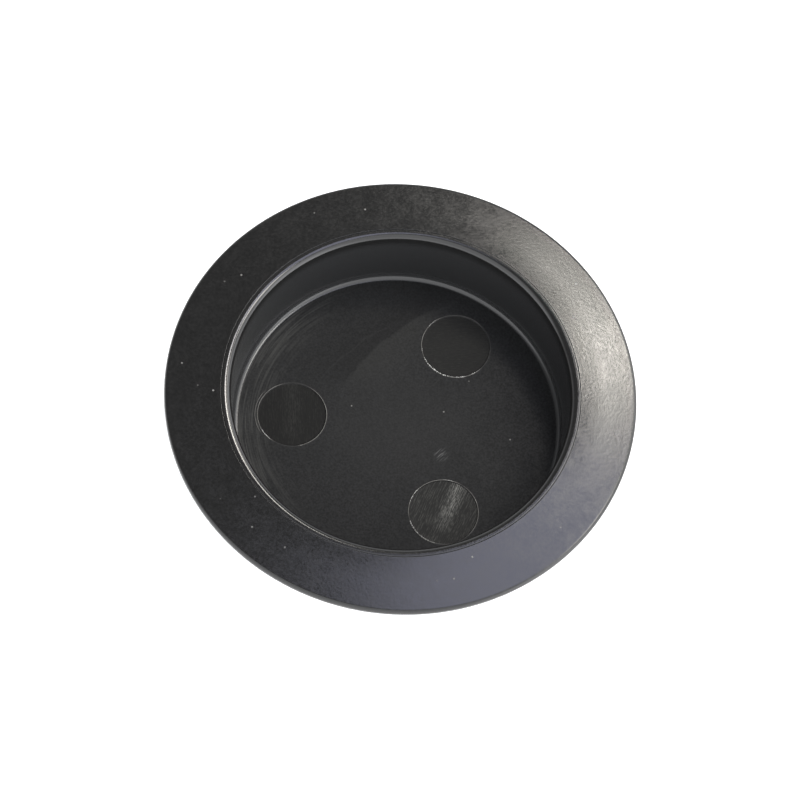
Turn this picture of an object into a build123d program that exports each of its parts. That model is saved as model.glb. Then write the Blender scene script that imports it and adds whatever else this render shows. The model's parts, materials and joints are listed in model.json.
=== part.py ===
from build123d import *
import os

# Desk grommet with a closed, recessed middle.  All sizes in millimetres.
# Origin: on the axis, in the plane of the desk top.  +Z points up, out of the desk.

# Driving dimensions
DESK_HOLE_D = 60.0        # hole cut in the desk top
FLANGE_D = 73.0           # outside of the sloping flange
MOUTH_D = 52.5            # opening of the recess
FLOOR_TOP_Z = -10.4       # floor of the recess, below the desk plane
CREST_Z = 2.0             # highest ring of the flange and of the cup's lip
SLEEVE_BOTTOM_Z = -16.5   # end of the liner under the desk plane

# Liner ring: flange, sleeve and the ledge that carries the cup
FLANGE_EDGE_Z = 1.0       # flange height at its outer edge, before rounding
FLANGE_EDGE_ROUND = 0.55
FLANGE_FOOT_ROUND = 0.2
SLEEVE_HOLE_GAP = 0.3     # radial gap from sleeve to desk hole
SLEEVE_LEAD_IN_Z = -13.8  # below this the sleeve tapers, to start it in the hole
SLEEVE_TIP_R = 28.5
SLEEVE_TIP_ROUND = 0.2
BORE_TOP_R = 27.78
BORE_DRAFT = 0.2          # the bore is this much tighter where it meets the ledge
UNDER_BORE_R = 27.4       # inside of the sleeve under the ledge
BORE_EDGE_ROUND = 0.05    # the flange's inner edge is almost sharp
LEDGE_R = 24.6
LEDGE_THICKNESS = 1.5
GRIP_RIBS = 12
GRIP_RIB_HEIGHT = 0.2
GRIP_RIB_WIDTH = 1.2
GRIP_RIB_FULL_Z = -9.0
GRIP_RIB_END_Z = -11.5

# Cup insert: lip, wall and floor
SEAM_GAP = 0.04           # radial gap between the liner's bore and the cup's lip
LIP_EDGE_ROUND = 0.15     # the lip's outer edge, beside the seam
LIP_ROLL_R = 1.05         # roll-over from the lip into the recess
LIP_BAND_Z = -0.5         # the close-fitting band under the lip ends here
LIP_BAND_STEP = 0.4
CUP_WALL_R = 27.25        # outside of the wall below that band
RECESS_DRAFT = 0.6        # the recess is this much tighter at the floor
FLOOR_CORNER_R = 0.9
FLOOR_THICKNESS = 1.6
BASE_CORNER_R = 0.8
LOCATING_RIBS = 6
LOCATING_RIB_CLEARANCE = 0.05
LOCATING_RIB_WIDTH = 1.5
LOCATING_RIB_FULL_Z = -8.0
LOCATING_RIB_END_Z = -10.5
LOCATING_RIB_START = 30.0
PIN_MARKS = 3
PIN_MARK_D = 10.8
PIN_MARK_DEPTH = 0.12
PIN_MARK_CIRCLE_R = 16.5
PIN_MARK_START = 60.0
GATE_WELL_D = 6.0
GATE_WELL_DEPTH = 0.4
GATE_STUB_D = 1.6
GATE_STUB_HEIGHT = 0.25

# Worked out from the above
SLEEVE_R = DESK_HOLE_D / 2 - SLEEVE_HOLE_GAP
LEDGE_TOP_Z = FLOOR_TOP_Z - FLOOR_THICKNESS
CUP_LIP_R = BORE_TOP_R - SEAM_GAP
SINK = 0.5                # how far a rib reaches into the wall that it stands on


def bore_r(z):
    """Radius of the liner's bore at height z."""
    return BORE_TOP_R - BORE_DRAFT * (CREST_Z - z) / (CREST_Z - LEDGE_TOP_Z)


def corner(outline, r, z):
    """The corner of a flat outline that lies nearest to (r, z)."""
    return outline.vertices().sort_by_distance((r, z, 0))[0]


def rounded(outline, corners):
    """The outline with each (r, z, radius) corner rounded."""
    for r, z, radius in corners:
        outline = fillet(corner(outline, r, z), radius)
    return outline


def turned(outline):
    """The solid that an outline in (radius, height) sweeps about the axis."""
    return revolve(Plane.XZ * outline, Axis.Z, 360)


def upright_rib(wall_r, top, full, end_z, width):
    """A rib on a wall, its face through the (r, z) points top and full, then tapering out at end_z."""
    outline = make_face(Polyline(
        (wall_r - SINK, top[1]),
        top,
        full,
        (wall_r, end_z),
        (wall_r - SINK, end_z),
        close=True,
    ))
    return extrude(Plane.XZ * outline, width / 2, both=True)


def make_liner_ring():
    flange_r = FLANGE_D / 2
    ledge_bottom_z = LEDGE_TOP_Z - LEDGE_THICKNESS
    outline = make_face(Polyline(
        (BORE_TOP_R, CREST_Z),
        (flange_r, FLANGE_EDGE_Z),
        (flange_r, 0),
        (SLEEVE_R, 0),
        (SLEEVE_R, SLEEVE_LEAD_IN_Z),
        (SLEEVE_TIP_R, SLEEVE_BOTTOM_Z),
        (UNDER_BORE_R, SLEEVE_BOTTOM_Z),
        (UNDER_BORE_R, ledge_bottom_z),
        (LEDGE_R, ledge_bottom_z),
        (LEDGE_R, LEDGE_TOP_Z),
        (bore_r(LEDGE_TOP_Z), LEDGE_TOP_Z),
        close=True,
    ))
    outline = rounded(outline, [
        (BORE_TOP_R, CREST_Z, BORE_EDGE_ROUND),
        (flange_r, FLANGE_EDGE_Z, FLANGE_EDGE_ROUND),
        (flange_r, 0, FLANGE_FOOT_ROUND),
        (SLEEVE_TIP_R, SLEEVE_BOTTOM_Z, SLEEVE_TIP_ROUND),
        (UNDER_BORE_R, SLEEVE_BOTTOM_Z, SLEEVE_TIP_ROUND),
    ])
    face_r = SLEEVE_R + GRIP_RIB_HEIGHT
    rib = upright_rib(
        SLEEVE_R, (face_r, 0), (face_r, GRIP_RIB_FULL_Z), GRIP_RIB_END_Z, GRIP_RIB_WIDTH
    )
    return turned(outline) + PolarLocations(0, GRIP_RIBS) * rib


def make_cup_insert():
    mouth_r = MOUTH_D / 2
    floor_r = mouth_r - RECESS_DRAFT
    outline = make_face(Polyline(
        (CUP_LIP_R, CREST_Z),
        (mouth_r, CREST_Z),
        (floor_r, FLOOR_TOP_Z),
        (0, FLOOR_TOP_Z),
        (0, LEDGE_TOP_Z),
        (CUP_WALL_R, LEDGE_TOP_Z),
        (CUP_WALL_R, LIP_BAND_Z - LIP_BAND_STEP),
        (bore_r(LIP_BAND_Z) - SEAM_GAP, LIP_BAND_Z),
        close=True,
    ))
    outline = rounded(outline, [
        (CUP_LIP_R, CREST_Z, LIP_EDGE_ROUND),
        (mouth_r, CREST_Z, LIP_ROLL_R),
        (floor_r, FLOOR_TOP_Z, FLOOR_CORNER_R),
        (CUP_WALL_R, LEDGE_TOP_Z, BASE_CORNER_R),
    ])
    cup = turned(outline)

    # Upright ribs below the lip band keep the cup central in the bore
    top, full = [
        (bore_r(z) - LOCATING_RIB_CLEARANCE, z) for z in (LIP_BAND_Z, LOCATING_RIB_FULL_Z)
    ]
    rib = upright_rib(CUP_WALL_R, top, full, LOCATING_RIB_END_Z, LOCATING_RIB_WIDTH)
    cup += PolarLocations(0, LOCATING_RIBS, start_angle=LOCATING_RIB_START) * rib

    # Round marks that the mould's ejector pins leave in the floor
    mark = Cylinder(PIN_MARK_D / 2, PIN_MARK_DEPTH, align=(Align.CENTER, Align.CENTER, Align.MAX))
    cup -= PolarLocations(PIN_MARK_CIRCLE_R, PIN_MARKS, start_angle=PIN_MARK_START) * (
        Pos(0, 0, FLOOR_TOP_Z) * mark
    )

    # Gate well under the floor, with the stub of the gate inside it
    well = Cylinder(GATE_WELL_D / 2, GATE_WELL_DEPTH, align=(Align.CENTER, Align.CENTER, Align.MIN))
    stub = Cylinder(GATE_STUB_D / 2, GATE_STUB_HEIGHT, align=(Align.CENTER, Align.CENTER, Align.MAX))
    cup -= Pos(0, 0, LEDGE_TOP_Z) * well
    cup += Pos(0, 0, LEDGE_TOP_Z + GATE_WELL_DEPTH) * stub
    return cup


NODES = {
    "liner_ring": make_liner_ring,
    "cup_insert": make_cup_insert,
}

os.makedirs("parts", exist_ok=True)
for name, make in NODES.items():
    export_step(make(), f"parts/{name}.step")
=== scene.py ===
import json
import math
import random

import bmesh
import bpy
from mathutils import Matrix, Quaternion, Vector, geometry, noise


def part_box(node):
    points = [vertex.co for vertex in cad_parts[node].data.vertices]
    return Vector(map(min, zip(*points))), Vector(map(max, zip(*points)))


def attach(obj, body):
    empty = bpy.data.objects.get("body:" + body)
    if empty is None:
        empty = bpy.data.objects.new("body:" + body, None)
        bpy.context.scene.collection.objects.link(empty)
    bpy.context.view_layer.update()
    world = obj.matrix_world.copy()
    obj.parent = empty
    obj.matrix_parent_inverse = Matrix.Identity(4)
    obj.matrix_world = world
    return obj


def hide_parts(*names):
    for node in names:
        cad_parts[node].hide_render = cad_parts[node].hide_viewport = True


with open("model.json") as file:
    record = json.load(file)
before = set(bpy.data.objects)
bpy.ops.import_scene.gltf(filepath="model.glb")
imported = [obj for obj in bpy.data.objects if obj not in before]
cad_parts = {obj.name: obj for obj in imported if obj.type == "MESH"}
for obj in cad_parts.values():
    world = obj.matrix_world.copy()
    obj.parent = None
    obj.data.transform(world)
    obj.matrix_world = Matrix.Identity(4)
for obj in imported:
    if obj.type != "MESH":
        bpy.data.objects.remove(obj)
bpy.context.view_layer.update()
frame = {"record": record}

MM = 0.001               # the shapes below are in millimetres, and become metres in the mesh

# Sizes read from the frame, in millimetres
LINER_LOW, LINER_HIGH = (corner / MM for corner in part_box("liner_ring"))
CUP_LOW, CUP_HIGH = (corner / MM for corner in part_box("cup_insert"))
SLEEVE_MOUNT = next(m for m in frame["record"]["mounts"] if m["name"] == "desk_hole_sleeve")
FLANGE_R = LINER_HIGH.x
SLEEVE_BOTTOM_Z = LINER_LOW.z
SLEEVE_R = SLEEVE_MOUNT["dims"]["r_mm"]
LEAD_IN_Z = -SLEEVE_MOUNT["dims"]["length_mm"]
CREST_Z = CUP_HIGH.z
CUP_BASE_Z = CUP_LOW.z

# The liner ring
FLANGE_EDGE_Z = 1.0
FLANGE_EDGE_ROUND = 0.55
FLANGE_FOOT_ROUND = 0.2
BORE_TOP_R = 27.78
BORE_DRAFT = 0.2
BORE_EDGE_ROUND = 0.05
STEEP_WIDTH = 2.0        # a band beside the seam where the flange is slightly steeper
STEEP_DROP = 0.055       # so beyond it the flange lies this much lower than a plain cone
STEEP_ROUND = 140        # radius that blends the band into the rest
SLEEVE_TIP_R = 28.5
SLEEVE_TIP_ROUND = 0.2
UNDER_BORE_R = 27.4
LEDGE_R = 24.6
LEDGE_THICKNESS = 1.5
GRIP_RIBS = 12
GRIP_RIB_HEIGHT = 0.2
GRIP_RIB_WIDTH = 1.2
GRIP_RIB_FULL_Z = -9.0
GRIP_RIB_END_Z = -11.5

# The cup insert
SEAM_GAP = 0.04
MOUTH_R = 26.25
FLOOR_R = 25.65
FLOOR_Z = -10.4
LIP_EDGE_ROUND = 0.15
LIP_ROLL_R = 1.05
LIP_BAND_Z = -0.5
LIP_BAND_STEP = 0.4
CUP_WALL_R = 27.25
FLOOR_CORNER_R = 0.9
BASE_CORNER_R = 0.8
LOCATING_RIBS = 6
LOCATING_RIB_CLEARANCE = 0.05
LOCATING_RIB_WIDTH = 1.5
LOCATING_RIB_FULL_Z = -8.0
LOCATING_RIB_END_Z = -10.5
LOCATING_RIB_START = 30.0
GATE_WELL_R = 3.0
GATE_WELL_DEPTH = 0.4
GATE_STUB_R = 0.8
GATE_STUB_HEIGHT = 0.25
GATE_STUB_ROUND = 0.1
PIN_MARK_R = 5.4
PIN_MARK_DEPTH = 0.12
PIN_MARK_CIRCLE_R = 16.5
AXIS_R = 0.02            # radius at which the underside closes on the axis

# What the floor's material shows: a flow line, which is an arc about a point, a fainter second
# one beyond it, and a small scuff with strokes in one direction
FLOW_CENTRE = (23.4, -11.6)
FLOW_R = 37.9
SECOND_FLOW_CENTRE = (14, -10)
SECOND_FLOW_R = 32.7
SCUFF_CENTRE = (7.2, -4.6)
SCUFF_DEGREES = 50

# Mesh fineness
TURN_STEPS = 480         # columns round the axis
MARK_STEPS = 480         # columns round each pin mark
ARC_STEPS = 8            # steps in each rounded corner
STRAIGHT_STEP = 0.8      # longest step along a straight wall
SUPPORT = 0.04           # distance from a rounded corner to the loop that keeps the wall flat
FLANK = 0.06             # width of a rib's steep side
FILL_PITCH = 1.2         # spacing of the points that fill the cup's floor
FILL_MARGIN = 2.0        # the filled floor stops this far inside the floor's edge
FILL_CLEAR = 0.4         # and its inner points stay this far from its edges
MARK_MARGIN = 0.6        # width of plain floor round a mark that belongs to its patch
MERGE_DISTANCE = 0.0001  # points closer than this become one

# The pin marks, each with its angle about the axis. Round its edge, as stretches of (from degrees,
# to degrees, height), are the witness line, the torn flash that stands on it and, on one mark, a
# second line. Its face copies the ground end of the pin: straight lines in one direction, their
# depth and the greys between and on them. The sheen is painted highlight: a brighter band along
# the lines, painted where the ground face would catch the light. It lies at a place across the
# lines, and grows along them from faint_at to full_at.
PIN_MARKS = [
    {
        "name": "rear_pin_mark", "angle": 60, "seed": 1,
        "line": [(40, 130, 0.012), (115, 215, 0.045), (205, 325, 0.03)],
        "second_line": [],
        "flash": [(128, 150, 0.06), (182, 196, 0.1), (204, 292, 0.22), (296, 318, 0.1)],
        "grain_degrees": 7, "grain_depth": 0.005, "dark": 0.0082, "light": 0.0145,
        "painted_sheen": {"place": 13.3, "half_width": 3.0, "faint_at": 4.0, "full_at": 8.0, "light": 0.013},
    },
    {
        "name": "left_pin_mark", "angle": 180, "seed": 2,
        "line": [(-75, 70, 0.04), (105, 245, 0.045)],
        "second_line": [(138, 222, 0.035)],
        "flash": [(212, 238, 0.14), (284, 298, 0.09)],
        "grain_degrees": 95, "grain_depth": 0.004, "dark": 0.005, "light": 0.012,
        "painted_sheen": {"place": 16.4, "half_width": 2.2, "faint_at": -4.0, "full_at": -1.0, "light": 0.016},
    },
    {
        "name": "front_pin_mark", "angle": 300, "seed": 3,
        "line": [(60, 200, 0.05), (190, 290, 0.02), (-50, 62, 0.025)],
        "second_line": [],
        "flash": [(140, 172, 0.1), (200, 262, 0.16), (78, 96, 0.09), (20, 34, 0.06)],
        # The front mark's greys are set lighter than the others' as painted sheen, the light its brushed
        # face catches
        "grain_degrees": 72, "grain_depth": 0.012, "dark": 0.011, "light": 0.037,
        "painted_sheen": {"place": -12.9, "half_width": 1.9, "faint_at": -15.0, "full_at": -10.0, "light": 0.13},
    },
]
FLASH_BITS = 211         # bits of flash of random height, used in turn round a mark
BITS_PER_DEGREE = 1.3
LINE_FADE = 20           # degrees over which each stretch fades out at its ends
SECOND_LINE_FADE = 12
FLASH_FADE = 4

# Slots of the cup's materials: its own is the first, and then come the floor, each pin mark in
# turn and the witness lines
FLOOR, FIRST_MARK = 1, 2
WITNESS = FIRST_MARK + len(PIN_MARKS)


def bore_r(z):
    """Radius of the liner's bore at height z."""
    return BORE_TOP_R - BORE_DRAFT * (CREST_Z - z) / (CREST_Z - CUP_BASE_Z)


# ---------------------------------------------------------------- outlines

def arc_points(centre, start, end, steps):
    """Points of the short arc about centre from start to end."""
    a0 = math.atan2(start.y - centre.y, start.x - centre.x)
    turn = math.atan2(end.y - centre.y, end.x - centre.x) - a0
    turn = (turn + math.pi) % (2 * math.pi) - math.pi
    radius = (start - centre).length
    angles = [a0 + turn * i / steps for i in range(steps + 1)]
    return [centre + radius * Vector((math.cos(a), math.sin(a))) for a in angles]


def straight_points(start, end):
    """Points between start and end, close to each end and then evenly spaced."""
    span = end - start
    length = span.length
    if length < 4 * SUPPORT:
        return []
    along = span / length
    inner = length - 2 * SUPPORT
    steps = max(1, math.ceil(inner / STRAIGHT_STEP))
    return [start + along * (SUPPORT + inner * i / steps) for i in range(steps + 1)]


def rounded_outline(corners, closed):
    """An outline in (radius, height) through (r, z, rounding) corners."""
    runs = []
    count = len(corners)
    for i, (r, z, rounding) in enumerate(corners):
        here = Vector((r, z))
        if rounding == 0:
            runs.append([here])
            continue
        before = Vector(corners[i - 1][:2]) - here
        after = Vector(corners[(i + 1) % count][:2]) - here
        half = before.angle(after) / 2
        setback = rounding / math.tan(half)
        middle = (before.normalized() + after.normalized()).normalized()
        centre = here + middle * rounding / math.sin(half)
        start = here + before.normalized() * setback
        end = here + after.normalized() * setback
        runs.append(arc_points(centre, start, end, ARC_STEPS))
    points = []
    for i, run in enumerate(runs):
        points += run
        if closed or i < count - 1:
            points += straight_points(run[-1], runs[(i + 1) % count][0])
    return points


# ---------------------------------------------------------------- meshes

def turn_angles(ribs, start, wall_r, width):
    """Column angles: an even turn, with a close pair of columns at each side of each rib."""
    angles = [2 * math.pi * i / TURN_STEPS for i in range(TURN_STEPS)]
    half = width / 2 / wall_r
    flank = FLANK / wall_r
    for rib in range(ribs):
        middle = math.radians(start) + 2 * math.pi * rib / ribs
        for edge in (-half - flank, -half, half, half + flank):
            angles.append((middle + edge) % (2 * math.pi))
    return sorted(angles)


def on_rib(angle, ribs, start, wall_r, width):
    """Whether a column at this angle stands on the face of a rib."""
    pitch = 2 * math.pi / ribs
    from_rib = (angle - math.radians(start) + pitch / 2) % pitch - pitch / 2
    return abs(from_rib) * wall_r < width / 2 + FLANK / 2


def lathe(mesh, outline, angles, reach, closed):
    """Adds the surface that outline sweeps about the axis. Returns its columns of vertices."""
    columns = []
    for angle in angles:
        cos_a, sin_a = math.cos(angle), math.sin(angle)
        column = []
        for r, z in outline:
            out = reach(angle, r, z)
            column.append(mesh.verts.new((out * cos_a * MM, out * sin_a * MM, z * MM)))
        columns.append(column)
    steps = len(outline) if closed else len(outline) - 1
    for i, column in enumerate(columns):
        beside = columns[(i + 1) % len(columns)]
        for j in range(steps):
            k = (j + 1) % len(outline)
            mesh.faces.new((column[j], beside[j], beside[k], column[k]))
    return columns


def finished_object(name, mesh, body, node, materials):
    """Makes the object of a finished mesh, riding on its body in place of its CAD node."""
    bmesh.ops.remove_doubles(mesh, verts=mesh.verts, dist=MERGE_DISTANCE * MM)
    bmesh.ops.recalc_face_normals(mesh, faces=mesh.faces)
    data = bpy.data.meshes.new(name)
    mesh.to_mesh(data)
    mesh.free()
    for material in materials:
        data.materials.append(material)
    data.shade_smooth()
    piece = bpy.data.objects.new(name, data)
    bpy.context.scene.collection.objects.link(piece)
    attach(piece, body)
    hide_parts(node)


def make_liner(material):
    """The liner ring, with its grip ribs."""
    slope = (CREST_Z - FLANGE_EDGE_Z) / (FLANGE_R - BORE_TOP_R)
    outline = rounded_outline([
        (BORE_TOP_R, CREST_Z, BORE_EDGE_ROUND),
        (BORE_TOP_R + STEEP_WIDTH, CREST_Z - slope * STEEP_WIDTH - STEEP_DROP, STEEP_ROUND),
        (FLANGE_R, FLANGE_EDGE_Z - STEEP_DROP, FLANGE_EDGE_ROUND),
        (FLANGE_R, 0, FLANGE_FOOT_ROUND),
        (SLEEVE_R, 0, 0),
        (SLEEVE_R, GRIP_RIB_FULL_Z, 0),
        (SLEEVE_R, GRIP_RIB_END_Z, 0),
        (SLEEVE_R, LEAD_IN_Z, 0),
        (SLEEVE_TIP_R, SLEEVE_BOTTOM_Z, SLEEVE_TIP_ROUND),
        (UNDER_BORE_R, SLEEVE_BOTTOM_Z, SLEEVE_TIP_ROUND),
        (UNDER_BORE_R, CUP_BASE_Z - LEDGE_THICKNESS, 0),
        (LEDGE_R, CUP_BASE_Z - LEDGE_THICKNESS, 0),
        (LEDGE_R, CUP_BASE_Z, 0),
        (bore_r(CUP_BASE_Z), CUP_BASE_Z, 0),
    ], closed=True)

    def reach(angle, r, z):
        on_sleeve = abs(r - SLEEVE_R) < SUPPORT / 2 and GRIP_RIB_END_Z < z <= 0
        if not on_sleeve or not on_rib(angle, GRIP_RIBS, 0, SLEEVE_R, GRIP_RIB_WIDTH):
            return r
        fade = min(1, (z - GRIP_RIB_END_Z) / (GRIP_RIB_FULL_Z - GRIP_RIB_END_Z))
        return r + GRIP_RIB_HEIGHT * fade

    mesh = bmesh.new()
    lathe(mesh, outline, turn_angles(GRIP_RIBS, 0, SLEEVE_R, GRIP_RIB_WIDTH), reach, closed=True)
    finished_object("liner", mesh, "liner", "liner_ring", [material])


def stretch_height(degrees, stretches, fade):
    """The height that stretches give at this angle, fading out over fade degrees at their ends."""
    height = 0.0
    for start, end, most in stretches:
        past_start = (degrees - start) % 360
        to_end = (end - start) - past_start
        if to_end > 0:
            height = max(height, most * min(1, past_start / fade, to_end / fade))
    return height


def mark_profile(mark, step, bits):
    """A pin mark's section at one step round it, outwards, as (radius, height above the floor)."""
    angle = 2 * math.pi * step / MARK_STEPS
    degrees = 360 * step / MARK_STEPS
    out = Vector((math.cos(angle), math.sin(angle)))
    wander = noise.noise(Vector((out.x * 2, out.y * 2, mark["seed"])))
    bit = bits[int(degrees * BITS_PER_DEGREE) % len(bits)]
    flash = stretch_height(degrees, mark["flash"], FLASH_FADE) * bit
    lean = flash * noise.noise(Vector((out.x * 30, out.y * 30, mark["seed"])))
    edge = PIN_MARK_R
    rim = edge + 0.02 * wander
    line = stretch_height(degrees, mark["line"], LINE_FADE)
    ridge = 0.006 + line * (1 + 0.6 * wander) + flash
    second = stretch_height(degrees, mark["second_line"], SECOND_LINE_FADE)
    return [
        (edge - 3.0, -PIN_MARK_DEPTH),
        (edge - 1.0, -PIN_MARK_DEPTH),
        (rim - 0.22, -PIN_MARK_DEPTH),
        (rim - 0.13, -PIN_MARK_DEPTH + 0.005),
        (rim - 0.05, -0.02),
        (rim - 0.02 + lean, ridge * 0.9),
        (rim + 0.02 + lean, ridge),
        (rim + 0.09 + max(0, lean), 0.3 * flash),
        (rim + 0.14 + 0.4 * flash, 0),
        (edge + 0.34, 0),
        (edge + 0.40, second),
        (edge + 0.47, 0),
        (edge + MARK_MARGIN, 0),
    ]


def add_pin_mark(mesh, mark, slot):
    """A shallow round sinking with its witness ridge and flash. Returns its centre and outer ring."""
    turn = math.radians(mark["angle"])
    centre = PIN_MARK_CIRCLE_R * Vector((math.cos(turn), math.sin(turn)))
    rng = random.Random(mark["seed"])
    bits = [rng.random() ** 2 for _ in range(FLASH_BITS)]
    profiles = [mark_profile(mark, step, bits) for step in range(MARK_STEPS)]
    spokes = []
    for step, profile in enumerate(profiles):
        angle = 2 * math.pi * step / MARK_STEPS
        spoke = []
        for radius, height in profile:
            x = centre.x + radius * math.cos(angle)
            y = centre.y + radius * math.sin(angle)
            spoke.append(mesh.verts.new((x * MM, y * MM, (FLOOR_Z + height) * MM)))
        spokes.append(spoke)
    middle = mesh.verts.new((centre.x * MM, centre.y * MM, (FLOOR_Z - PIN_MARK_DEPTH) * MM))

    # Of the bands between a profile's points, counted outwards, the first are the mark's face and
    # the next its witness ridge, and two further out are the flanks of the second line
    face_bands, ridge_bands, second_top = range(3), range(3, 8), 10
    for step, spoke in enumerate(spokes):
        beside = spokes[(step + 1) % MARK_STEPS]
        mesh.faces.new((middle, spoke[0], beside[0])).material_index = slot
        has_second = profiles[step][second_top][1] > 0
        for j in range(len(spoke) - 1):
            face = mesh.faces.new((spoke[j], spoke[j + 1], beside[j + 1], beside[j]))
            if j in face_bands:
                face.material_index = slot
            elif j in ridge_bands or (has_second and j in (second_top - 1, second_top)):
                face.material_index = WITNESS
            else:
                face.material_index = FLOOR
    return centre, [spoke[-1] for spoke in spokes]


def fill_floor(mesh, outer_loop, mark_loops):
    """Fills the flat floor between its outer loop and the pin marks with even triangles."""
    points, edges = [], []
    for loop in [outer_loop] + [loop for _, loop in mark_loops]:
        first = len(points)
        points += [v.co.xy / MM for v in loop]
        edges += [(first + i, first + (i + 1) % len(loop)) for i in range(len(loop))]
    floor_edge = FLOOR_R - FILL_MARGIN
    mark_edge = PIN_MARK_R + MARK_MARGIN
    rows = int(2 * floor_edge / FILL_PITCH) + 1
    for row in range(rows):
        for column in range(rows):
            x = -floor_edge + FILL_PITCH * (column + (0.5 if row % 2 else 0))
            point = Vector((x, -floor_edge + FILL_PITCH * row))
            inside = point.length < floor_edge - FILL_CLEAR
            if inside and all((point - c).length > mark_edge + FILL_CLEAR for c, _ in mark_loops):
                points.append(point)
    flat, _, triangles = geometry.delaunay_2d_cdt(points, edges, [], 0, 1e-6)[:3]
    verts = [mesh.verts.new((p.x * MM, p.y * MM, FLOOR_Z * MM)) for p in flat]
    for triangle in triangles:
        middle = sum((flat[i] for i in triangle), Vector((0, 0))) / 3
        if all((middle - c).length > mark_edge for c, _ in mark_loops):
            mesh.faces.new([verts[i] for i in triangle]).material_index = FLOOR


def make_cup(materials):
    """The cup insert, its floor filled in between the pin marks."""
    outline = rounded_outline([
        (AXIS_R, CUP_BASE_Z + GATE_WELL_DEPTH - GATE_STUB_HEIGHT, 0),
        (GATE_STUB_R, CUP_BASE_Z + GATE_WELL_DEPTH - GATE_STUB_HEIGHT, GATE_STUB_ROUND),
        (GATE_STUB_R, CUP_BASE_Z + GATE_WELL_DEPTH, 0),
        (GATE_WELL_R, CUP_BASE_Z + GATE_WELL_DEPTH, 0),
        (GATE_WELL_R, CUP_BASE_Z, 0),
        (CUP_WALL_R, CUP_BASE_Z, BASE_CORNER_R),
        (CUP_WALL_R, LOCATING_RIB_END_Z, 0),
        (CUP_WALL_R, LOCATING_RIB_FULL_Z, 0),
        (CUP_WALL_R, LIP_BAND_Z - LIP_BAND_STEP, 0),
        (bore_r(LIP_BAND_Z) - SEAM_GAP, LIP_BAND_Z, 0),
        (BORE_TOP_R - SEAM_GAP, CREST_Z, LIP_EDGE_ROUND),
        (MOUTH_R, CREST_Z, LIP_ROLL_R),
        (FLOOR_R, FLOOR_Z, FLOOR_CORNER_R),
        (FLOOR_R - FILL_MARGIN, FLOOR_Z, 0),
    ], closed=False)
    rib_face_r = bore_r(LOCATING_RIB_FULL_Z) - LOCATING_RIB_CLEARANCE

    def reach(angle, r, z):
        below_band = r > CUP_WALL_R - SUPPORT / 2 and LOCATING_RIB_END_Z < z <= LIP_BAND_Z
        if not below_band:
            return r
        if not on_rib(angle, LOCATING_RIBS, LOCATING_RIB_START, CUP_WALL_R, LOCATING_RIB_WIDTH):
            return r
        if z >= LOCATING_RIB_FULL_Z:
            return bore_r(z) - LOCATING_RIB_CLEARANCE
        fade = (z - LOCATING_RIB_END_Z) / (LOCATING_RIB_FULL_Z - LOCATING_RIB_END_Z)
        return r + (rib_face_r - r) * fade

    mesh = bmesh.new()
    angles = turn_angles(LOCATING_RIBS, LOCATING_RIB_START, CUP_WALL_R, LOCATING_RIB_WIDTH)
    columns = lathe(mesh, outline, angles, reach, closed=False)
    for face in mesh.faces:
        if all(abs(v.co.z / MM - FLOOR_Z) < SUPPORT / 2 for v in face.verts):
            face.material_index = FLOOR
    mesh.faces.new([column[0] for column in columns])
    marks = [add_pin_mark(mesh, mark, FIRST_MARK + i) for i, mark in enumerate(PIN_MARKS)]
    fill_floor(mesh, [column[-1] for column in columns], marks)
    finished_object("cup", mesh, "cup", "cup_insert", materials)


# ---------------------------------------------------------------- materials

PLASTIC_IOR = 1.5
DULL = 0.09              # specular level of the cup's floor and pin marks, which hardly mirror


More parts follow.
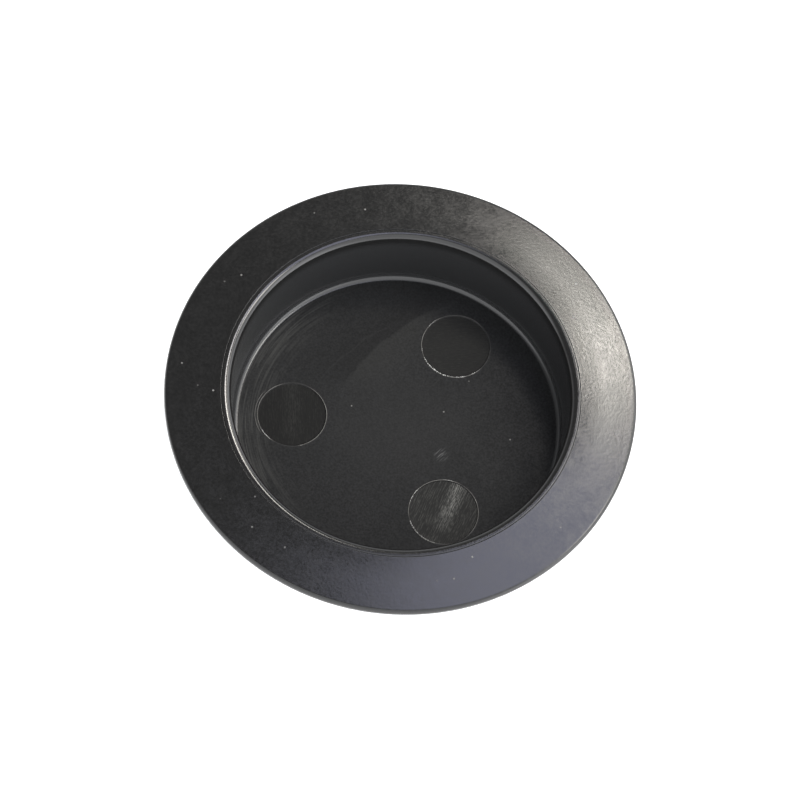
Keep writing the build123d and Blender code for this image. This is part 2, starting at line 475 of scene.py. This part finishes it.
class Finish:
    """A material being built. Its methods add nodes and return their outputs; finish comes last."""

    def __init__(self, name):
        self.material = bpy.data.materials.new(name)
        self.material.use_nodes = True
        self.tree = self.material.node_tree
        self.shader = self.tree.nodes["Principled BSDF"]
        place = self.node("TexCoord", {})["Object"]
        self.mm = self.vector("SCALE", place, {"Scale": 1 / MM})

    def node(self, kind, inputs, **settings):
        made = self.tree.nodes.new("ShaderNode" + kind)
        for key, value in settings.items():
            setattr(made, key, value)
        for key, value in inputs.items():
            if isinstance(value, bpy.types.NodeSocket):
                self.tree.links.new(value, made.inputs[key])
            else:
                made.inputs[key].default_value = value
        return made.outputs

    def vector(self, operation, first, others):
        return self.node("VectorMath", {0: first, **others}, operation=operation)["Vector"]

    def math(self, operation, first, second=0.0):
        return self.node("Math", {0: first, 1: second}, operation=operation)["Value"]

    def times(self, first, *others):
        """The product of two or more values."""
        for other in others:
            first = self.math("MULTIPLY", first, other)
        return first

    def fit(self, value, start, end, low, high):
        """Turns start..end into low..high, smoothly and without going past either."""
        ends = {"Value": value, "From Min": start, "From Max": end, "To Min": low, "To Max": high}
        return self.node("MapRange", ends, interpolation_type="SMOOTHSTEP")["Result"]

    def noise(self, place, scale, detail=3.0):
        return self.node("TexNoise", {"Vector": place, "Scale": scale, "Detail": detail})["Fac"]

    def streaks(self, place, along, across, detail):
        """Noise drawn out along the place's X axis, with these scales along it and across it."""
        return self.noise(self.vector("MULTIPLY", place, {1: (along, across, 0)}), 1.0, detail)

    def mix(self, factor, first, second):
        inputs = {"Factor": factor, "A": first, "B": second}
        return self.node("Mix", inputs, data_type="RGBA")["Result"]

    def flat_place(self):
        """The place seen along the axis, with no height."""
        return self.vector("MULTIPLY", self.mm, {1: (1, 1, 0)})

    def radius(self):
        return self.node("VectorMath", {0: self.flat_place()}, operation="LENGTH")["Value"]

    def distance(self, centre):
        """How far a place is from the upright line through centre."""
        offset = self.vector("SUBTRACT", self.flat_place(), {1: (*centre, 0)})
        return self.node("VectorMath", {0: offset}, operation="LENGTH")["Value"]

    def rotated(self, degrees):
        """The place in axes turned about the upright one, with X at this angle."""
        turn = {"Vector": self.mm, "Angle": math.radians(-degrees)}
        return self.node("VectorRotate", turn, rotation_type="Z_AXIS")["Vector"]

    def turned(self, density, along):
        """A place that is stretched round the axis, for the fine lines that turning leaves."""
        around = self.vector("NORMALIZE", self.flat_place(), {})
        around = self.vector("SCALE", around, {"Scale": along})
        across = self.node("CombineXYZ", {"Z": self.times(self.radius(), density)})["Vector"]
        return self.vector("ADD", around, {1: across})

    def specks(self, pitch, size, share):
        """Sparse small specks of dust seen from above, up to 1: one cell in share has one."""
        bent = self.node("TexNoise", {"Vector": self.mm, "Scale": 5.0})["Color"]
        place = self.vector("ADD", self.mm, {1: self.vector("SCALE", bent, {"Scale": 0.14})})
        cells = self.node(
            "TexVoronoi", {"Vector": place, "Scale": 1 / pitch}, voronoi_dimensions="2D"
        )
        drawn, strength, _ = self.node("SeparateColor", {0: cells["Color"]})
        near = self.fit(cells["Distance"], size / pitch * 0.4, size / pitch, 1.0, 0.0)
        return self.times(near, self.math("GREATER_THAN", drawn, 1 - share), strength)

    def finish(self, colour, roughness, height, depth, specular=0.5):
        """Connects the colour, roughness and relief, with depth in millimetres for a height of 1."""
        bump = self.node("Bump", {"Height": height, "Distance": depth * MM})["Normal"]
        links = {"Base Color": colour, "Roughness": roughness, "Normal": bump}
        for key, socket in links.items():
            self.tree.links.new(socket, self.shader.inputs[key])
        self.shader.inputs["IOR"].default_value = PLASTIC_IOR
        self.shader.inputs["Specular IOR Level"].default_value = specular
        return self.material


def grey(level, tint=(1, 1, 1)):
    """A grey, or a tinted grey, as a colour with alpha."""
    return (*(level * t for t in tint), 1)


def liner_plastic():
    """Satin black: a fine leathery grain, faint turned lines, handling smudges and dust."""
    f = Finish("liner_plastic")
    grain = f.noise(f.mm, 2.2, 5.0)
    lines = f.noise(f.turned(5.0, 3.0), 1.0, 4.0)
    smudges = f.noise(f.mm, 0.5, 5.0)
    height_mm = f.node("SeparateXYZ", {0: f.mm})["Z"]
    on_flange = f.fit(height_mm, 0.3, 0.8, 0.0, 1.0)
    dust = f.times(f.specks(2.6, 0.2, 0.09), on_flange)
    colour = f.mix(grain, grey(0.004), grey(0.011, (1, 0.99, 0.97)))
    colour = f.mix(dust, colour, grey(0.14, (1, 0.98, 0.93)))
    roughness = f.fit(smudges, 0.3, 0.7, 0.17, 0.22)
    roughness = f.math("ADD", roughness, f.fit(grain, 0.3, 0.7, -0.03, 0.03))
    roughness = f.math("ADD", roughness, f.times(dust, 0.5))
    height = f.math("ADD", f.times(lines, 0.08), grain)
    return f.finish(colour, roughness, height, 0.009)


def cup_plastic():
    """Satin black with a fine grain, a little greyer and duller below the lip."""
    f = Finish("cup_plastic")
    height_mm = f.node("SeparateXYZ", {0: f.mm})["Z"]
    grain = f.noise(f.mm, 3.0, 4.0)
    smudges = f.noise(f.mm, 0.3, 4.0)
    colour = f.mix(grain, grey(0.005), grey(0.011, (1, 1, 0.97)))
    below_lip = f.fit(height_mm, -1.0, 1.5, 1.0, 0.0)
    colour = f.mix(f.times(below_lip, 0.7), colour, grey(0.028, (0.95, 0.97, 1)))
    roughness = f.math("ADD", f.fit(smudges, 0.2, 0.8, 0.11, 0.15), f.times(below_lip, 0.09))
    roughness = f.math("ADD", roughness, f.fit(grain, 0.2, 0.8, -0.02, 0.02))
    return f.finish(colour, roughness, grain, 0.006)


def floor_plastic():
    """The cup's floor: duller, faintly turned, with a flow line, a scuff and sparse dust."""
    f = Finish("cup_floor_plastic")
    x, y, _ = f.node("SeparateXYZ", {0: f.mm})
    grain = f.noise(f.mm, 3.4, 3.0)
    lines = f.noise(f.turned(3.2, 3.0), 1.0, 4.0)
    clouds = f.noise(f.mm, 0.13, 5.0)
    wander = f.times(clouds, 2.5)

    # The plastic is lighter just inside the flow line and darker just outside it, and the second
    # line is only a light hairline. Both fade at their ends
    to_flow = f.math("ADD", f.distance(FLOW_CENTRE), wander)
    past_flow = f.fit(to_flow, FLOW_R, FLOW_R + 0.5, 0.0, 1.0)
    before_flow = f.math("SUBTRACT", 1.0, past_flow)
    flow_ends = f.times(f.fit(y, 4.0, 10.0, 0.0, 0.8), f.fit(x, 2.0, 8.0, 1.0, 0.0))
    inside = f.times(f.fit(to_flow, FLOW_R - 7, FLOW_R, 0.0, 0.35), before_flow, flow_ends)
    outside = f.times(f.fit(to_flow, FLOW_R + 1, FLOW_R + 8, 0.55, 0.2), past_flow, flow_ends)
    to_second = f.math("ADD", f.distance(SECOND_FLOW_CENTRE), wander)
    from_second = f.math("ABSOLUTE", f.math("SUBTRACT", to_second, SECOND_FLOW_R))
    second_ends = f.times(f.fit(y, 5.0, 10.0, 0.0, 1.0), f.fit(x, -5.0, 0.0, 1.0, 0.0))
    second_flow = f.times(f.fit(from_second, 0.0, 0.3, 0.14, 0.0), second_ends)

    # Painted sheen: the turned lines, the floor's own grain, are painted lighter towards the left edge,
    #     where they catch the light
    near_edge = f.fit(f.radius(), 18.0, 24.5, 0.0, 1.0)
    at_left = f.fit(x, -20.0, -8.0, 1.0, 0.0)
    turned = f.times(f.fit(lines, 0.4, 0.66, 0.1, 1.0), near_edge, at_left)

    near_scuff = f.fit(f.distance(SCUFF_CENTRE), 0.2, 1.6, 1.0, 0.0)
    strokes = f.streaks(f.rotated(SCUFF_DEGREES), 0.5, 5.0, 4.0)
    scuff = f.times(near_scuff, f.fit(strokes, 0.45, 0.65, 0.0, 0.7))
    dust = f.specks(3.6, 0.18, 0.05)
    # Painted light: the floor is painted lighter towards its middle, where the walls shade it least
    middle = f.fit(f.radius(), 3.0, 17.0, 0.4, 0.0)

    colour = f.mix(grain, grey(0.002, (0.98, 1, 1.02)), grey(0.018, (0.97, 1, 1.03)))
    # Painted light: the lighter middle
    colour = f.mix(middle, colour, grey(0.016))
    colour = f.mix(inside, colour, grey(0.022, (1, 1, 0.93)))
    colour = f.mix(outside, colour, grey(0.004))
    colour = f.mix(second_flow, colour, grey(0.03))
    # Painted sheen on the turned lines at the left
    colour = f.mix(f.times(turned, 0.6), colour, grey(0.045, (1, 1, 0.95)))
    colour = f.mix(scuff, colour, grey(0.08))
    colour = f.mix(dust, colour, grey(0.15, (1, 0.98, 0.93)))
    roughness = f.math("ADD", f.fit(clouds, 0.2, 0.8, 0.5, 0.58), f.fit(grain, 0.3, 0.7, 0.06, -0.06))
    height = f.math("ADD", f.times(lines, 0.5), grain)
    return f.finish(colour, roughness, height, 0.013, DULL)


def pin_mark_plastic(mark):
    """The end of a ground steel pin, copied in the plastic: straight fine lines, broken here and
    there, and a painted highlight along them, a brighter band where the lines would catch the light."""
    f = Finish(mark["name"])
    place = f.rotated(mark["grain_degrees"])
    lines = f.streaks(place, 0.5, 6.0, 6.0)
    breaks = f.fit(f.streaks(place, 1.6, 7.0, 3.0), 0.38, 0.62, 0.2, 1.0)
    scratches = f.times(f.fit(lines, 0.42, 0.62, 0.0, 1.0), breaks)
    colour = f.mix(scratches, grey(mark["dark"], (1, 1, 0.97)), grey(mark["light"], (1, 1, 0.94)))

    # Painted highlight: a lighter band along the lines, where the ground face would catch the light
    painted_sheen = mark["painted_sheen"]
    along, across, _ = f.node("SeparateXYZ", {0: place})
    off = f.math("ABSOLUTE", f.math("SUBTRACT", across, painted_sheen["place"]))
    beside = f.fit(off, 0.0, painted_sheen["half_width"], 1.0, 0.0)
    grown = f.fit(along, painted_sheen["faint_at"], painted_sheen["full_at"], 0.1, 1.0)
    painted_highlight_band = f.times(beside, grown, f.fit(lines, 0.4, 0.6, 0.25, 1.0), breaks)
    colour = f.mix(painted_highlight_band, colour, grey(painted_sheen["light"], (1, 1, 0.94)))
    roughness = f.fit(lines, 0.3, 0.7, 0.52, 0.68)
    return f.finish(colour, roughness, lines, mark["grain_depth"], DULL)


def witness_plastic():
    """The ridge round a pin mark and its torn flash: lighter, partly where the plastic has stretched
    and partly as painted highlight, the light that ridge and flash catch.
    """
    f = Finish("witness_plastic")
    patches = f.noise(f.mm, 1.3, 3.0)
    height_mm = f.node("SeparateXYZ", {0: f.mm})["Z"]
    # Lighter partly from real stress whitening and partly as painted highlight on the ridge and flash
    stretch_white_and_highlight = f.fit(height_mm, FLOOR_Z, FLOOR_Z + 0.04, 0.0, 1.0)
    torn_white_and_glint = f.fit(height_mm, FLOOR_Z + 0.04, FLOOR_Z + 0.12, 0.0, 1.0)
    colour = f.mix(stretch_white_and_highlight, grey(0.008), grey(0.09, (1, 0.98, 0.9)))
    colour = f.mix(torn_white_and_glint, colour, grey(0.4, (1, 1, 0.97)))
    return f.finish(colour, f.fit(patches, 0.3, 0.7, 0.4, 0.6), patches, 0.01, specular=0.2)


# ---------------------------------------------------------------- studio

# The camera stands in front, this many degrees towards +X and above the desk, and is rolled
CAMERA_AZIMUTH = -2.5
CAMERA_ELEVATION = 65.1
CAMERA_ROLL = 7.36
CAMERA_DISTANCE = 20 * FLANGE_R * MM
HALF_PICTURE = 1.69 * FLANGE_R * MM           # half of the picture's width at the object
SENSOR_WIDTH = 36        # in millimetres
AIM_HEIGHT = 0.45        # the camera aims at this height on the axis, in millimetres,
AIM_LEFT = 0.14          # moved this far to the left and down in the picture
AIM_DOWN = 0.82

FLOOR_GAP = 0.02         # the studio floor lies just clear of the liner, in millimetres
FLOOR_HALF_SIZE = 1.5    # in metres
FLOOR_GREY = 0.9
FLOOR_ROUGHNESS = 0.9
FLOOR_GLOW = 0.35        # it gives off some light of its own, to stay pale round the object

# Soft lights: name, azimuth from +X towards +Y and elevation, both in degrees, size in metres,
# spin about the line to the object in degrees, radiance and colour
LIGHT_DISTANCE = 1.0
LIGHTS = [
    ("window", 69.8, 58.8, (0.16, 0.3), 40, 17.5, (1.0, 0.96, 0.89)),
    ("window_middle", 63.8, 57.2, (0.1, 0.1), 40, 32, (1.0, 0.95, 0.86)),
    ("side_window", 15, 58, (0.32, 0.28), 0, 13, (1.0, 0.97, 0.9)),
    ("low_window", 46, 43, (0.46, 0.32), 0, 5, (1.0, 0.97, 0.9)),
    ("sky", 46, 73.5, (0.44, 0.4), 0, 3.8, (0.76, 0.78, 1.0)),
]

# Light of the room by direction: (axis, from, to, strength at from, strength at to)
ROOM_LIGHT = [
    ("Z", 0.05, 0.72, 1.1, 0.17),
    ("Y", -0.3, 0.05, 2.0, 0.0),
    ("X", 0.35, 0.85, 0.0, 2.2),
    ("Y", 0.6, 0.9, 0.0, 0.5),
]
ROOM_COLOUR = (0.97, 0.98, 1.0, 1)


def make_camera():
    """The camera, which looks down at the object from in front."""
    azimuth, elevation = math.radians(CAMERA_AZIMUTH), math.radians(CAMERA_ELEVATION)
    back = Vector((
        math.sin(azimuth) * math.cos(elevation),
        -math.cos(azimuth) * math.cos(elevation),
        math.sin(elevation),
    ))
    right = Vector((math.cos(azimuth), math.sin(azimuth), 0))
    up = back.cross(right)
    roll = math.radians(CAMERA_ROLL)
    rolled_right = right * math.cos(roll) + up * math.sin(roll)
    rolled_up = back.cross(rolled_right)
    aim = (Vector((0, 0, AIM_HEIGHT)) - rolled_right * AIM_LEFT - rolled_up * AIM_DOWN) * MM
    data = bpy.data.cameras.new("camera")
    data.sensor_width = SENSOR_WIDTH
    data.lens = SENSOR_WIDTH / 2 * CAMERA_DISTANCE / HALF_PICTURE
    data.clip_start = 0.01
    data.clip_end = 20
    camera = bpy.data.objects.new("camera", data)
    place = Matrix((rolled_right, rolled_up, back)).transposed().to_4x4()
    place.translation = aim + back * CAMERA_DISTANCE
    camera.matrix_world = place
    bpy.context.scene.collection.objects.link(camera)
    bpy.context.scene.camera = camera


def make_light(name, azimuth, elevation, size, spin, radiance, colour):
    """A soft rectangular light that faces the object."""
    a, e = math.radians(azimuth), math.radians(elevation)
    away = Vector((math.cos(a) * math.cos(e), math.sin(a) * math.cos(e), math.sin(e)))
    data = bpy.data.lights.new(name, "AREA")
    data.shape = "RECTANGLE"
    data.size, data.size_y = size
    data.energy = radiance * math.pi * size[0] * size[1]
    data.color = colour
    light = bpy.data.objects.new(name, data)
    light.location = away * LIGHT_DISTANCE
    turned = away.to_track_quat("Z", "Y") @ Quaternion((0, 0, 1), math.radians(spin))
    light.rotation_euler = turned.to_euler()
    bpy.context.scene.collection.objects.link(light)


def make_world():
    """The light of the room: dim overhead, brighter low down, in front, at the right and behind."""
    world = bpy.data.worlds.new("studio")
    world.use_nodes = True
    nodes, links = world.node_tree.nodes, world.node_tree.links
    place = nodes.new("ShaderNodeTexCoord")
    split = nodes.new("ShaderNodeSeparateXYZ")
    links.new(place.outputs["Generated"], split.inputs[0])
    background = nodes["Background"]
    background.inputs["Color"].default_value = ROOM_COLOUR
    total = None
    for axis, start, end, low, high in ROOM_LIGHT:
        level = nodes.new("ShaderNodeMapRange")
        level.interpolation_type = "SMOOTHSTEP"
        ends = {"From Min": start, "From Max": end, "To Min": low, "To Max": high}
        for key, value in ends.items():
            level.inputs[key].default_value = value
        links.new(split.outputs[axis], level.inputs["Value"])
        if total is None:
            total = level.outputs["Result"]
            continue
        both = nodes.new("ShaderNodeMath")
        links.new(total, both.inputs[0])
        links.new(level.outputs["Result"], both.inputs[1])
        total = both.outputs["Value"]
    links.new(total, background.inputs["Strength"])
    bpy.context.scene.world = world


def make_floor():
    """The studio's plain pale floor, under the liner's lower end."""
    mesh = bmesh.new()
    bmesh.ops.create_grid(mesh, x_segments=8, y_segments=8, size=FLOOR_HALF_SIZE)
    data = bpy.data.meshes.new("floor")
    mesh.to_mesh(data)
    mesh.free()
    floor = bpy.data.objects.new("floor", data)
    floor.location.z = (SLEEVE_BOTTOM_Z - FLOOR_GAP) * MM
    pale = bpy.data.materials.new("pale_floor")
    pale.use_nodes = True
    shader = pale.node_tree.nodes["Principled BSDF"]
    shader.inputs["Base Color"].default_value = grey(FLOOR_GREY)
    shader.inputs["Roughness"].default_value = FLOOR_ROUGHNESS
    shader.inputs["Emission Color"].default_value = grey(1)
    shader.inputs["Emission Strength"].default_value = FLOOR_GLOW
    data.materials.append(pale)
    bpy.context.scene.collection.objects.link(floor)


make_camera()
make_world()
make_floor()
for light_values in LIGHTS:
    make_light(*light_values)
bpy.context.scene.view_settings.view_transform = "Standard"

make_liner(liner_plastic())
make_cup([
    cup_plastic(),
    floor_plastic(),
    *(pin_mark_plastic(mark) for mark in PIN_MARKS),
    witness_plastic(),
])
